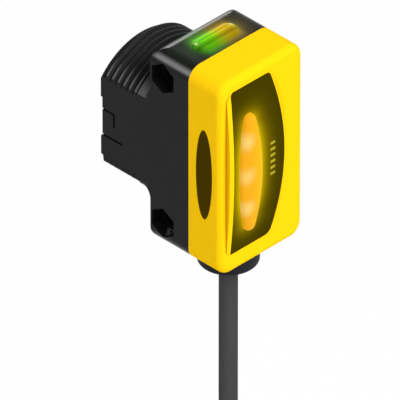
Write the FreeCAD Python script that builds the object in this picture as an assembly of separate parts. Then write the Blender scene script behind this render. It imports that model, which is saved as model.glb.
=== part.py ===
import FreeCAD, Part
import math
import os

from FreeCAD import Vector

# Fixed-field photoelectric sensor, millimetres.
# +X points from the lens end to the yellow indicator cover, Y is the width, +Z is up.
# The origin is on the barrel's axis, in the flat shoulder that the barrel grows out of.

# Case
case_width = 22.0
case_height = 44.0
housing_depth = 10.2
cover_depth = 8.55
corner_radius = 3.0
shoulder_edge_radius = 2.8
shoulder_corner_radius = 1.6
cover_edge_radius = 1.4
case_wall = 1.6
shoulder_wall = 1.8
cover_front_wall = 2.15

# Threaded barrel, M30 x 1.5 with two flats flush with the case's sides
barrel_length = 13.2
thread_crest_radius = 14.9
thread_depth = 0.82
thread_pitch = 1.5
thread_crest_flat = 0.36
thread_root_flat = 0.12
collar_radius = 15.05
collar_length = 2.75
collar_bevel = 0.15
end_lip_radius = 14.0
end_lip_length = 0.5
end_lip_bevel = 0.2
barrel_fillet = 1.8
bore_radius = 12.0
bore_flat_wall = 1.8
lens_seat_radius = 13.0
lens_seat_flat_wall = 1.0
lens_seat_depth = 2.1
key_notch_height = 9.0
key_notch_depth = 0.4
mark_groove_width = 0.45
mark_groove_depth = 0.3
upper_mark_z = 1.85
upper_mark_length = 3.5
upper_mark_drop = 3.0
lower_mark_z = -4.0
lower_mark_length = 5.75

# Side mounting holes, M3 with a nut pocket on one side
hole_end_distance = 5.4
hole_x = 3.35
hole_radius = 1.65
nut_across_flats = 5.8
nut_pocket_depth = 2.4

# Inside of the housing
shelf_depth = 3.0
well_half_height = 12.2
well_corner_radius = 1.0
post_radius = 1.3
post_side_gap = 2.0
post_end_gap = 3.8
stake_radius = 0.55
stake_height = 0.4
fit_gap = 0.05
slide_gap = 0.1
least_corner_radius = 0.2

# Raised island and smoked window on the cover
window_left = 8.4
window_right_end = 1.9
window_right_bow = 3.0
window_end_margin = 3.5
window_z = 0.95
window_corner_radii = {"top_left": 0.8, "top_right": 1.0, "bottom_right": 1.5, "bottom_left": 0.3}
window_edge_thickness = 1.3
window_ledge = 0.7
island_rise = 1.05
island_left_lip = 1.13
island_rim = 0.35

# Amber light bar in the window
bar_y = -4.3
bar_half_width = 2.75
bar_end_margin = 5.2
bar_tip_radius = 1.35
bar_proud = 1.3
bar_edge_radius = 1.1
bar_flange = 0.5
bar_flange_thickness = 1.0

# Status dome on top of the housing
dome_length = 10.9
dome_width = 4.0
dome_height = 0.5
dome_edge_radius = 0.4
dome_offset = 3.95
dome_ridge_inset = 1.05
dome_ridge_height = 0.4
dome_ridge_edge_radius = 0.35
dome_stem_inset = 0.6
dome_stem_depth = 2.3

# Seal between housing and cover
seal_width = 0.7
seal_depth = 1.0

# Lens plate, its gasket, and the optics behind it
lens_plate_thickness = 1.7
lens_gasket_thickness = 0.3
lens_gasket_width = 0.9
lens_spacing = 11.2
lens_radius = 5.0
lens_rim_thickness = 1.0
lens_cap_radius = 4.6
lens_cap_height = 0.9
lens_seat_behind_plate = 2.3
tunnel_front_radius = 4.2
tunnel_back_radius = 2.6
holder_stand_out = 0.2
board_thickness = 1.0
optics_board_half_height = 11.6
optics_board_half_width = 8.8

# Main board and indicator board
main_board_rise = 1.4
main_board_side_gap = 0.4
main_board_end_gap = 0.5
board_corner_radius = 1.0
led_board_setback = 3.0
led_post_y = 6.5
led_post_end_gap = 1.5
led_post_radius = 1.2
link_header_rise = 3.4
led_header_rise = 10.6
dome_lamp_y = 3.3
pin_half_width = 0.3
pin_spacing = 2.0
pin_block_margin = 1.1
pin_block_height = 2.4

# Cable gland and strain relief
gland_offset = 0.35
gland_radius = 6.0
gland_height = 5.0
gland_edge_radius = 0.5
gland_neck_radius = 2.9
gland_flange_radius = 3.6
gland_flange_thickness = 1.2
crimp_wall = 0.5
crimp_height = 1.2
crimp_gap = 0.15
tail_above_crimp = 0.3

# Cable
cable_diameter = 3.7
core_diameter = 0.84
core_ring_radius = 1.1
core_pad_spacing = 1.6
core_pad_length = 3.4
core_straight = 0.7
core_pad_gap = 0.3
core_bend_radius = 0.6
core_start_angles = {"brown": 234, "white": 306, "blue": 162, "black": 18, "grey": 90}
board_notch_half_width = 5.4
board_notch_above_tail = 2.6
core_names = ["brown", "white", "blue", "black", "grey"]

# Route of the free cable in the plane Y = 0: steps in X and Z from the gland down to the coil
lead_steps = [(0.0, -38.0), (3.14, -12.61), (6.47, -8.9), (8.66, -5.0)]
arc_share = 0.45

# Coil of the spare cable, tied in a ring that hangs below the case
coil_strand_radius = 26.8
coil_mean_radius = 22.0
coil_half_depth = 6.9
coil_half_width = 7.6
tie_angles = [330.0, 150.0]
tie_width = 2.6
tie_thickness = 0.9
tie_head_size = 4.4

# Cut end of the cable, with its five cores laid bare
cable_end_angle = 45.0
cable_end_run = 10.0
cable_end_runs = 3
cable_end_turn = -12.0
core_end_straight = 5.0
core_end_fan = 11.0
core_end_spread = 3.5
core_end_step = 72.0

half_width = case_width / 2
half_height = case_height / 2
hole_spacing = case_height - 2 * hole_end_distance
shelf_x = housing_depth - shelf_depth
main_board_x = shelf_x + main_board_rise
dome_x = housing_depth - dome_offset
gland_x = housing_depth - gland_offset
window_half_height = half_height - window_end_margin
bar_half_height = window_half_height - bar_end_margin
cover_face_x = housing_depth + cover_depth
cover_cavity_x = cover_face_x - cover_front_wall
led_board_x = cover_cavity_x - led_board_setback
window_back_x = cover_face_x - window_edge_thickness
cavity_half_width = half_width - case_wall
cavity_half_height = half_height - case_wall
cavity_corner_radius = corner_radius - case_wall
island_curve_radius = (window_half_height**2 + island_rise**2) / (2 * island_rise)
island_axis_x = cover_face_x + island_rise - island_curve_radius
lens_z = lens_spacing / 2
lens_seat_x = -barrel_length + lens_seat_depth
lens_plate_back_x = lens_seat_x - lens_gasket_thickness
holder_front_x = lens_seat_x + slide_gap
holder_back_x = shoulder_wall + holder_stand_out
lens_back_x = lens_plate_back_x + lens_seat_behind_plate
main_board_half_width = cavity_half_width - main_board_side_gap
main_board_half_height = cavity_half_height - main_board_end_gap
main_board_front_x = main_board_x + board_thickness
led_board_front_x = led_board_x + board_thickness
cavity_floor_z = -cavity_half_height
flange_top_z = cavity_floor_z + gland_flange_thickness
crimp_bottom_z = flange_top_z + crimp_gap
crimp_top_z = crimp_bottom_z + crimp_height
tail_top_z = crimp_top_z + tail_above_crimp
gland_bottom_z = -half_height - gland_height
cable_radius = cable_diameter / 2
core_radius = core_diameter / 2
post_y = cavity_half_width - post_side_gap
post_z = cavity_half_height - post_end_gap


def box(x0, x1, y0, y1, z0, z1):
    return Part.makeBox(x1 - x0, y1 - y0, z1 - z0, Vector(x0, y0, z0))


def rod_x(x0, x1, radius, y=0.0, z=0.0):
    return Part.makeCylinder(radius, x1 - x0, Vector(x0, y, z), Vector(1, 0, 0))


def rod_y(y0, y1, radius, x, z):
    return Part.makeCylinder(radius, y1 - y0, Vector(x, y0, z), Vector(0, 1, 0))


def rod_z(z0, z1, radius, x, y=0.0):
    return Part.makeCylinder(radius, z1 - z0, Vector(x, y, z0), Vector(0, 0, 1))


def filleted(shape, radius, wanted):
    """The shape with a fillet on each edge that wanted picks."""
    edges = [edge for edge in shape.Edges if wanted(edge)]
    return shape.makeFillet(radius, edges)


def runs_along(edge, direction):
    if not isinstance(edge.Curve, Part.Line):
        return False
    return abs(edge.tangentAt(edge.FirstParameter).dot(direction)) > 0.999


def lies_at(edge, axis, value):
    """True where the whole edge lies in the plane axis = value."""
    box_of_edge = edge.BoundBox
    low = getattr(box_of_edge, axis + "Min")
    high = getattr(box_of_edge, axis + "Max")
    return abs(low - value) < 0.01 and abs(high - value) < 0.01


def plate_x(x0, x1, half_y, half_z, radius, y=0.0, z=0.0):
    """A rounded rectangle in YZ, extruded along X."""
    plate = box(x0, x1, y - half_y, y + half_y, z - half_z, z + half_z)
    return filleted(plate, radius, lambda edge: runs_along(edge, Vector(1, 0, 0)))


def ring_plate(x0, x1, half_y, half_z, radius, width):
    """A closed frame of the given width, just inside a rounded rectangle."""
    outer = plate_x(x0, x1, half_y, half_z, radius)
    inner_radius = max(radius - width, least_corner_radius)
    return outer.cut(plate_x(x0, x1, half_y - width, half_z - width, inner_radius))


def turned(points, arcs=()):
    """A solid of revolution about X from (x, radius) points.

    arcs maps the index of an arc's first corner to the arc's middle.
    """
    arc_middles = dict(arcs)
    edges = []
    for index, point in enumerate(points):
        start = Vector(point[0], 0, point[1])
        end_point = points[(index + 1) % len(points)]
        end = Vector(end_point[0], 0, end_point[1])
        if index in arc_middles:
            middle = Vector(arc_middles[index][0], 0, arc_middles[index][1])
            edges.append(Part.Arc(start, middle, end).toShape())
        else:
            edges.append(Part.LineSegment(start, end).toShape())
    face = Part.Face(Part.Wire(edges))
    return face.revolve(Vector(0, 0, 0), Vector(1, 0, 0), 360)


def flatted_disc(x0, x1, radius, half_flat):
    """A round disc on the barrel's axis with the two side flats."""
    return rod_x(x0, x1, radius).common(box(x0, x1, -half_flat, half_flat, -radius, radius))


def hexagon_y(y0, y1, across_flats, x, z):
    """A hexagonal prism along Y with its points up and down."""
    corner_distance = across_flats / (2 * math.cos(math.radians(30)))
    corners = []
    for step in range(7):
        angle = math.radians(90 + 60 * step)
        corner_x = x + corner_distance * math.cos(angle)
        corner_z = z + corner_distance * math.sin(angle)
        corners.append(Vector(corner_x, y0, corner_z))
    return Part.Face(Part.makePolygon(corners)).extrude(Vector(0, y1 - y0, 0))


def arched(profile, half_span):
    """A closed profile in XY at the window's middle, swept up and down along the window's curve."""
    points = [Vector(x, y, window_z) for x, y in profile]
    face = Part.Face(Part.makePolygon(points + points[:1]))
    half_angle = math.degrees(math.asin(half_span / island_curve_radius))
    axis_point = Vector(island_axis_x, 0, window_z)
    face.rotate(axis_point, Vector(0, 1, 0), half_angle)
    return face.revolve(axis_point, Vector(0, -1, 0), 2 * half_angle)


def window_outline(x0, x1, grow_left, grow_right, grow_ends):
    """The D shape of the window, grown or shrunk, as a prism along X."""
    left = -window_left - grow_left
    right = window_right_end + grow_right
    bow = right + window_right_bow
    top = window_z + window_half_height + grow_ends
    bottom = window_z - window_half_height - grow_ends
    corners = {
        "bottom_left": Vector(x0, left, bottom),
        "bottom_right": Vector(x0, right, bottom),
        "top_right": Vector(x0, right, top),
        "top_left": Vector(x0, left, top),
    }
    edges = [
        Part.LineSegment(corners["bottom_left"], corners["bottom_right"]).toShape(),
        Part.Arc(corners["bottom_right"], Vector(x0, bow, window_z), corners["top_right"]).toShape(),
        Part.LineSegment(corners["top_right"], corners["top_left"]).toShape(),
        Part.LineSegment(corners["top_left"], corners["bottom_left"]).toShape(),
    ]
    prism = Part.Face(Part.Wire(edges)).extrude(Vector(x1 - x0, 0, 0))
    for name, corner in corners.items():
        radius = window_corner_radii[name] + max(grow_left, grow_ends, 0)
        picked = [e for e in prism.Edges if runs_along(e, Vector(1, 0, 0)) and near_line(e, corner)]
        prism = prism.makeFillet(radius, picked)
    return prism


def near_line(edge, corner):
    middle = edge.CenterOfMass
    return math.hypot(middle.y - corner.y, middle.z - corner.z) < 0.01


def bar_outline(x0, x1, grow):
    """The light bar's outline as a prism along X: two long side arcs that run smoothly into round tips."""
    tip_z = bar_half_height - bar_tip_radius
    side_spread = bar_half_width**2 + tip_z**2 - bar_tip_radius**2
    side_radius = side_spread / (2 * (bar_half_width - bar_tip_radius))
    side_offset = side_radius - bar_half_width
    lean = math.atan2(tip_z, side_offset)
    tip_radius = bar_tip_radius + grow
    joint_y = tip_radius * math.cos(lean)
    joint_z = tip_z + tip_radius * math.sin(lean)
    half_wide = bar_half_width + grow
    top = tip_z + tip_radius
    right_low = Vector(x0, bar_y + joint_y, -joint_z)
    right_high = Vector(x0, bar_y + joint_y, joint_z)
    left_low = Vector(x0, bar_y - joint_y, -joint_z)
    left_high = Vector(x0, bar_y - joint_y, joint_z)
    edges = [
        Part.Arc(right_low, Vector(x0, bar_y + half_wide, 0), right_high).toShape(),
        Part.Arc(right_high, Vector(x0, bar_y, top), left_high).toShape(),
        Part.Arc(left_high, Vector(x0, bar_y - half_wide, 0), left_low).toShape(),
        Part.Arc(left_low, Vector(x0, bar_y, -top), right_low).toShape(),
    ]
    return Part.Face(Part.Wire(edges)).extrude(Vector(x1 - x0, 0, 0))


def stadium_z(z0, z1, length, width, x):
    """A slot shape with its long way along Y, as a prism along Z."""
    radius = width / 2
    reach = length / 2 - radius
    middle = box(x - radius, x + radius, -reach, reach, z0, z1)
    ends = rod_z(z0, z1, radius, x, -reach).fuse(rod_z(z0, z1, radius, x, reach))
    return middle.fuse(ends).removeSplitter()


def gland_hole(radius, z0, z1):
    return rod_z(z0, z1, radius, gland_x)


def thread_groove():
    """The helical V cut between the thread's crests, run out past both ends."""
    start = -barrel_length - thread_pitch
    turns_length = barrel_length - collar_length + 2 * thread_pitch
    half_mouth = (thread_pitch - thread_crest_flat) / 2
    slope = half_mouth / thread_depth
    outside = thread_crest_flat / 4 / slope
    root_radius = thread_crest_radius - thread_depth
    wide = half_mouth + slope * outside
    root_flat = thread_root_flat / 2
    zone_end = -collar_length - collar_bevel
    corners = [
        Vector(root_radius, 0, -root_flat),
        Vector(thread_crest_radius + outside, 0, -wide),
        Vector(thread_crest_radius + outside, 0, wide),
        Vector(root_radius, 0, root_flat),
    ]
    profile = Part.makePolygon(corners + corners[:1])
    helix = Part.makeHelix(thread_pitch, turns_length, thread_crest_radius)
    groove = Part.Wire(helix).makePipeShell([profile], True, True)
    groove.rotate(Vector(0, 0, 0), Vector(0, 1, 0), 90)
    groove.translate(Vector(start, 0, 0))
    thread_zone = turned(
        [
            (-barrel_length - 1, 0),
            (-barrel_length - 1, thread_crest_radius + 1),
            (zone_end, thread_crest_radius + 1),
            (zone_end - thread_depth, root_radius - outside),
            (zone_end - thread_depth, 0),
        ]
    )
    return groove.common(thread_zone)


def barrel():
    """The turned form of the barrel with its foot fillet, its thread and its two flats."""
    fillet_middle = barrel_fillet * (1 - math.sqrt(0.5))
    points = [
        (shoulder_wall, 0),
        (shoulder_wall, collar_radius + barrel_fillet),
        (0, collar_radius + barrel_fillet),
        (-barrel_fillet, collar_radius),
        (-collar_length, collar_radius),
        (-collar_length - collar_bevel, thread_crest_radius),
        (-barrel_length + end_lip_length + end_lip_bevel, thread_crest_radius),
        (-barrel_length + end_lip_length, end_lip_radius),
        (-barrel_length, end_lip_radius),
        (-barrel_length, 0),
    ]
    arcs = {2: (-fillet_middle, collar_radius + fillet_middle)}
    form = turned(points, arcs).cut(thread_groove())
    outermost = collar_radius + barrel_fillet
    flats = box(-barrel_length, shoulder_wall, -half_width, half_width, -outermost, outermost)
    return form.common(flats)


def is_far_mitre(edge):
    """Picks the two creases at the shoulder, on the side away from the nut pockets."""
    if isinstance(edge.Curve, Part.Line):
        return False
    box_of_edge = edge.BoundBox
    return box_of_edge.XLength > shoulder_edge_radius / 2 and box_of_edge.YMin > 0


def case_block():
    """The housing's outer block, with rounded long edges and a rounded top and bottom at the shoulder."""
    block = plate_x(0, housing_depth, half_width, half_height, corner_radius)
    side = box(0, housing_depth, -half_width, half_width, -half_height, half_height)
    across = Vector(0, 1, 0)
    side = filleted(side, shoulder_edge_radius, lambda e: runs_along(e, across) and lies_at(e, "X", 0))
    return filleted(block.common(side), shoulder_corner_radius, is_far_mitre)


def mark_grooves(side):
    """The fine moulded marks on one flat of the barrel; side is -1 or +1."""
    deep = half_width - mark_groove_depth
    y0, y1 = (-half_width - 1, -deep) if side < 0 else (deep, half_width + 1)
    half = mark_groove_width / 2
    end = -barrel_length - 1
    corner_x = -barrel_length + upper_mark_length
    upper = box(end, corner_x + half, y0, y1, upper_mark_z - half, upper_mark_z + half)
    drop = box(corner_x - half, corner_x + half, y0, y1, upper_mark_z - upper_mark_drop, upper_mark_z)
    lower = box(end, -barrel_length + lower_mark_length, y0, y1, lower_mark_z - half, lower_mark_z + half)
    return upper.fuse(drop).fuse(lower)


def housing():
    shape = case_block().fuse(barrel()).removeSplitter()
    shallow = plate_x(shelf_x, housing_depth, cavity_half_width, cavity_half_height, cavity_corner_radius)
    well = plate_x(shoulder_wall, shelf_x + 1, cavity_half_width, well_half_height, well_corner_radius)
    bore = flatted_disc(-barrel_length, shoulder_wall + 1, bore_radius, half_width - bore_flat_wall)
    lens_seat = flatted_disc(-barrel_length, lens_seat_x, lens_seat_radius, half_width - lens_seat_flat_wall)
    shape = shape.cut(shallow).cut(well).cut(bore).cut(lens_seat)
    seal_seat = ring_plate(
        housing_depth - seal_depth,
        housing_depth,
        cavity_half_width + seal_width,
        cavity_half_height + seal_width,
        cavity_corner_radius + seal_width,
        seal_width,
    )
    shape = shape.cut(seal_seat)
    for hole_z in (hole_spacing / 2, -hole_spacing / 2):
        shape = shape.cut(rod_y(-half_width, half_width, hole_radius, hole_x, hole_z))
        pocket = hexagon_y(-half_width, -half_width + nut_pocket_depth, nut_across_flats, hole_x, hole_z)
        shape = shape.cut(pocket)
    for side in (-1, 1):
        notch_y = sorted((side * half_width, side * (half_width - lens_seat_flat_wall)))
        notch_end = -barrel_length + key_notch_depth
        half_notch = key_notch_height / 2
        shape = shape.cut(box(-barrel_length, notch_end, *notch_y, -half_notch, half_notch))
        shape = shape.cut(mark_grooves(side))
    stem_length = dome_length - 2 * dome_stem_inset + 2 * fit_gap
    stem_width = dome_width - 2 * dome_stem_inset + 2 * fit_gap
    slot_floor_z = half_height - dome_stem_depth - fit_gap
    dome_slot = stadium_z(slot_floor_z, half_height, stem_length, stem_width, dome_x)
    shape = shape.cut(dome_slot)
    shape = shape.cut(gland_hole(gland_neck_radius + fit_gap, -half_height, cavity_floor_z))
    room_radius = gland_flange_radius + slide_gap
    shape = shape.cut(gland_hole(room_radius, cavity_floor_z - fit_gap, flange_top_z + slide_gap))
    for y, z in post_places():
        shape = shape.fuse(rod_x(shelf_x, main_board_x, post_radius, y, z))
        shape = shape.fuse(rod_x(shelf_x, main_board_front_x + stake_height, stake_radius, y, z))
    return shape.removeSplitter()


def post_places():
    return [(y, z) for y in (-post_y, post_y) for z in (-post_z, post_z)]


def led_post_places():
    """Three posts: the window's corner takes the place of a fourth."""
    led_post_z = cavity_half_height - led_post_end_gap
    return [(led_post_y, led_post_z), (led_post_y, -led_post_z), (-led_post_y, -led_post_z)]


def cover_island(x0, x1):
    """Everything under the window's curve, between two planes."""
    beyond = 2.0
    left = -half_width
    profile = [(x0, left), (x1, left), (x1, half_width), (x0, half_width)]
    return arched(profile, window_half_height + beyond)


def rear_cover():
    shape = plate_x(housing_depth, cover_face_x, half_width, half_height, corner_radius)
    shape = filleted(shape, cover_edge_radius, lambda e: lies_at(e, "X", cover_face_x))
    crown_x = cover_face_x + island_rise
    outline = window_outline(cover_cavity_x, crown_x + 1, island_left_lip, island_rim, 0)
    island = outline.common(cover_island(cover_cavity_x - cover_front_wall, crown_x))
    shape = shape.fuse(island).removeSplitter()
    cavity_size = (cavity_half_width, cavity_half_height, cavity_corner_radius)
    shape = shape.cut(plate_x(housing_depth, cover_cavity_x, *cavity_size))
    seat = window_outline(window_back_x, crown_x + 1, fit_gap, fit_gap, fit_gap)
    opening = window_outline(cover_cavity_x, crown_x, -window_ledge, -window_ledge, -window_ledge)
    shape = shape.cut(seat).cut(opening)
    shape = shape.cut(gland_hole(gland_neck_radius + fit_gap, -half_height, cavity_floor_z))
    for y, z in led_post_places():
        shape = shape.fuse(rod_x(led_board_front_x, cover_cavity_x, led_post_radius, y, z))
        shape = shape.fuse(rod_x(led_board_x - stake_height, cover_cavity_x, stake_radius, y, z))
    return shape.removeSplitter()


def indicator_window():
    crown_x = cover_face_x + island_rise
    shape = window_outline(window_back_x, crown_x + 1, 0, 0, 0)
    shape = shape.common(cover_island(cover_cavity_x - cover_front_wall, crown_x))
    return shape.cut(bar_outline(window_back_x - 1, crown_x + 1, fit_gap))


def light_bar():
    """Amber diffuser: a raised bar with a softly rounded edge, held by a flange behind the window."""
    crown_x = cover_face_x + island_rise + bar_proud
    back_x = window_back_x - bar_flange_thickness
    body = bar_outline(back_x, crown_x + 1, 0).common(cover_island(back_x - cover_front_wall, crown_x))
    body = filleted(body, bar_edge_radius, lambda e: e.BoundBox.XMin > cover_face_x + bar_proud / 2)
    flange = bar_outline(back_x, window_back_x, bar_flange)
    return body.fuse(flange).removeSplitter()


def status_dome():
    """A low rounded lens with a narrower ridge along it, on a stem that takes in the light of its lamps."""
    top_z = half_height + dome_height
    ridge_z = top_z + dome_ridge_height
    dome = stadium_z(half_height, top_z, dome_length, dome_width, dome_x)
    dome = filleted(dome, dome_edge_radius, lambda e: lies_at(e, "Z", top_z))
    ridge_length = dome_length - 2 * dome_ridge_inset
    ridge_width = dome_width - 2 * dome_ridge_inset
    ridge = stadium_z(half_height, ridge_z, ridge_length, ridge_width, dome_x)
    ridge = filleted(ridge, dome_ridge_edge_radius, lambda e: lies_at(e, "Z", ridge_z))
    stem_length = dome_length - 2 * dome_stem_inset
    stem_width = dome_width - 2 * dome_stem_inset
    stem = stadium_z(half_height - dome_stem_depth, half_height, stem_length, stem_width, dome_x)
    return dome.fuse(ridge).fuse(stem).removeSplitter()


def cover_seal():
    shape = ring_plate(
        housing_depth - seal_depth,
        housing_depth,
        cavity_half_width + seal_width - fit_gap,
        cavity_half_height + seal_width - fit_gap,
        cavity_corner_radius + seal_width - fit_gap,
        seal_width - fit_gap,
    )
    return shape.cut(gland_hole(gland_neck_radius + 2 * fit_gap, -half_height, cavity_floor_z + 1))


def lens_plate():
    front_x = lens_plate_back_x - lens_plate_thickness
    half_flat = half_width - lens_seat_flat_wall - fit_gap
    plate = flatted_disc(front_x, lens_plate_back_x, lens_seat_radius - fit_gap, half_flat)
    return plate


def lens_gasket():
    outer_radius = lens_seat_radius - slide_gap
    half_flat = half_width - lens_seat_flat_wall - slide_gap
    outer = flatted_disc(lens_plate_back_x, lens_seat_x, outer_radius, half_flat)
    inner_radius = outer_radius - lens_gasket_width
    inner = flatted_disc(lens_plate_back_x, lens_seat_x, inner_radius, half_flat - lens_gasket_width)
    return outer.cut(inner)


def optics_holder():
    """Black insert that holds both lenses and keeps the two light paths apart."""
    half_flat = half_width - bore_flat_wall - slide_gap
    shape = flatted_disc(holder_front_x, holder_back_x, bore_radius - slide_gap, half_flat)
    for z in (lens_z, -lens_z):
        seat = rod_x(holder_front_x, lens_back_x, lens_radius + fit_gap, 0, z)
        tunnel = Part.makeCone(
            tunnel_front_radius,
            tunnel_back_radius,
            holder_back_x - lens_back_x,
            Vector(lens_back_x, 0, z),
            Vector(1, 0, 0),
        )
        shape = shape.cut(seat).cut(tunnel)
    return shape


def lens(z):
    """A rimmed lens, flat behind and domed in front."""
    rim_front_x = lens_back_x - lens_rim_thickness
    cap_radius = (lens_cap_radius**2 + lens_cap_height**2) / (2 * lens_cap_height)
    half_angle = math.asin(lens_cap_radius / cap_radius) / 2
    middle = (
        rim_front_x - lens_cap_height + cap_radius * (1 - math.cos(half_angle)),
        cap_radius * math.sin(half_angle),
    )
    points = [
        (lens_back_x, 0),
        (lens_back_x, lens_radius),
        (rim_front_x, lens_radius),
        (rim_front_x, lens_cap_radius),
        (rim_front_x - lens_cap_height, 0),
    ]
    shape = turned(points, {3: middle})
    shape.translate(Vector(0, 0, z))
    return shape


def optics_board():
    return plate_x(
        holder_back_x,
        holder_back_x + board_thickness,
        optics_board_half_width,
        optics_board_half_height,
        board_corner_radius,
    )


def emitter_led():
    base_height = 0.9
    half_side = 1.5
    bulb_radius = 1.0
    base_front_x = holder_back_x - base_height
    base = box(base_front_x, holder_back_x, -half_side, half_side, lens_z - half_side, lens_z + half_side)
    bulb = Part.makeSphere(bulb_radius, Vector(base_front_x, 0, lens_z))
    reach = 2 * bulb_radius
    front = box(base_front_x - reach, base_front_x, -reach, reach, lens_z - reach, lens_z + reach)
    return base.fuse(bulb.common(front)).removeSplitter()


def receiver_diodes():
    """The receiver's chip package, with a bar between its near and far elements."""
    package_height = 0.8
    half_side = 1.7
    bar_height = 0.25
    bar_half = 0.2
    front_x = holder_back_x - package_height
    base = box(front_x, holder_back_x, -half_side, half_side, -lens_z - half_side, -lens_z + half_side)
    bar = box(front_x - bar_height, front_x, -half_side, half_side, -lens_z - bar_half, -lens_z + bar_half)
    return base.fuse(bar)


def receiver_shield():
    """A folded tin can over the receiver's amplifier, open towards the board."""
    sheet = 0.2
    half_y = 4.2
    height = 2.4
    half_z = 4.6
    corner = 0.6
    board_back_x = holder_back_x + board_thickness
    can = plate_x(board_back_x, board_back_x + height, half_y, half_z, corner, 0, -lens_z)
    inside_x = board_back_x + height - sheet
    inside = plate_x(board_back_x, inside_x, half_y - sheet, half_z - sheet, corner - sheet, 0, -lens_z)
    return can.cut(inside)


def pin_block(x0, x1, count, z):
    """The plastic block of a pin header, with a hole for each pin."""
    half_y = pin_spacing * (count - 1) / 2 + pin_block_margin
    middle_x = (x0 + x1) / 2
    half_block = pin_block_height / 2
    half_z = pin_block_margin
    block = box(middle_x - half_block, middle_x + half_block, -half_y, half_y, z - half_z, z + half_z)
    reach = pin_half_width + fit_gap
    for y in pin_places(count):
        block = block.cut(box(x0, x1, y - reach, y + reach, z - reach, z + reach))
    return block


def pin_places(count):
    return [pin_spacing * (index - (count - 1) / 2) for index in range(count)]


def pins(x0, x1, count, z):
    reach = pin_half_width
    return Part.makeCompound(
        [box(x0, x1, y - reach, y + reach, z - reach, z + reach) for y in pin_places(count)]
    )


def main_board():
    board = plate_x(
        main_board_x, main_board_front_x, main_board_half_width, main_board_half_height, board_corner_radius
    )
    notch_top = tail_top_z + board_notch_above_tail
    notch = box(
        main_board_x,
        main_board_front_x,
        -board_notch_half_width,
        board_notch_half_width,
        -half_height,
        notch_top,
    )
    board = board.cut(notch)
    for y, z in post_places():
        board = board.cut(rod_x(main_board_x, main_board_front_x, stake_radius + fit_gap, y, z))
    return board


def led_board():
    board = plate_x(
        led_board_x, led_board_front_x, main_board_half_width, main_board_half_height, board_corner_radius
    )
    for y, z in led_post_places():
        board = board.cut(rod_x(led_board_x, led_board_front_x, stake_radius + fit_gap, y, z))
    return board


def chip(x0, height, width, length, y, z, edge):
    """A moulded chip package with a small bevel all round its top."""
    body = box(x0, x0 + height, y - width / 2, y + width / 2, z - length / 2, z + length / 2)
    top_edges = [e for e in body.Edges if lies_at(e, "X", x0 + height)]
    return body.makeChamfer(edge, top_edges)


def controller_chip():
    height = 1.2
    side = 6.0
    bevel = 0.3
    place_z = 3.5
    return chip(main_board_front_x, height, side, side, 0.0, place_z, bevel)


def regulator_chip():
    height = 1.0
    width = 3.4
    length = 3.0
    bevel = 0.25
    place_y = -6.2
    place_z = -4.5
    return chip(main_board_front_x, height, width, length, place_y, place_z, bevel)


def capacitors():
    """Four tall round capacitors in a row on the main board."""
    can_radius = 1.4
    can_height = 2.6
    row_z = 10.0
    spacing = 4.0
    places = [spacing * step for step in (-1.5, -0.5, 0.5, 1.5)]
    return Part.makeCompound(
        [rod_x(main_board_front_x, main_board_front_x + can_height, can_radius, y, row_z) for y in places]
    )


def output_transistors():
    height = 1.1
    width = 3.2
    length = 3.6
    bevel = 0.25
    place_y = 6.2
    upper_z = -4.5
    lower_z = -10.0
    return Part.makeCompound(
        [chip(main_board_front_x, height, width, length, place_y, z, bevel) for z in (upper_z, lower_z)]
    )


def output_leds():
    spacing = 7.5
    height = 0.8
    width = 2.4
    length = 2.8
    bevel = 0.2
    return Part.makeCompound(
        [chip(led_board_front_x, height, width, length, bar_y, z, bevel) for z in (spacing, 0.0, -spacing)]
    )


def top_led(y):
    """A side-looking lamp under one end of the status dome."""
    lamp_top = half_height - dome_stem_depth - 3 * fit_gap
    lamp_height = 1.6
    lamp_half = 1.2
    lamp_depth = 1.1
    lamp_bottom = lamp_top - lamp_height
    return box(main_board_x - lamp_depth, main_board_x, y - lamp_half, y + lamp_half, lamp_bottom, lamp_top)


def cable_gland():
    """Round boss under the case with a neck held between the two shells and a flange inside."""
    boss = rod_z(gland_bottom_z, -half_height, gland_radius, gland_x)
    boss = filleted(boss, gland_edge_radius, lambda e: lies_at(e, "Z", gland_bottom_z))
    neck = rod_z(-half_height, cavity_floor_z, gland_neck_radius, gland_x)
    flange = rod_z(cavity_floor_z, flange_top_z, gland_flange_radius, gland_x)
    shape = boss.fuse(neck).fuse(flange)
    return shape.cut(rod_z(gland_bottom_z, flange_top_z, cable_radius + fit_gap, gland_x))


def crimp_ring():
    inner = cable_radius + fit_gap
    ring = rod_z(crimp_bottom_z, crimp_top_z, inner + crimp_wall, gland_x)
    return ring.cut(rod_z(crimp_bottom_z, crimp_top_z, inner, gland_x))


def cable_tail():
    """The stretch of cable that the gland and the crimp ring hold."""
    return rod_z(gland_bottom_z, tail_top_z, cable_radius, gland_x)


def bent_path(points, radii):
    """Straight runs joined by tangent arcs, one radius for each inner point, as one wire."""
    edges = []
    start = points[0]
    for index in range(1, len(points) - 1):
        corner = points[index]
        before = (corner - points[index - 1]).normalize()
        after = (points[index + 1] - corner).normalize()
        turn = before.getAngle(after)
        radius = radii[index - 1]
        reach = radius * math.tan(turn / 2)
        arc_start = corner - before * reach
        arc_end = corner + after * reach
        inward = (after - before).normalize()
        middle = corner + inward * (radius / math.cos(turn / 2) - radius)
        edges.append(Part.LineSegment(start, arc_start).toShape())
        edges.append(Part.Arc(arc_start, middle, arc_end).toShape())
        start = arc_end
    edges.append(Part.LineSegment(start, points[-1]).toShape())
    return Part.Wire(edges)


def route_radii(points):
    """Each bend is as large as its two runs allow."""
    radii = []
    for index in range(1, len(points) - 1):
        before = points[index] - points[index - 1]
        after = points[index + 1] - points[index]
        half_turn = before.getAngle(after) / 2
        radii.append(arc_share * min(before.Length, after.Length) / math.tan(half_turn))
    return radii


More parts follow.
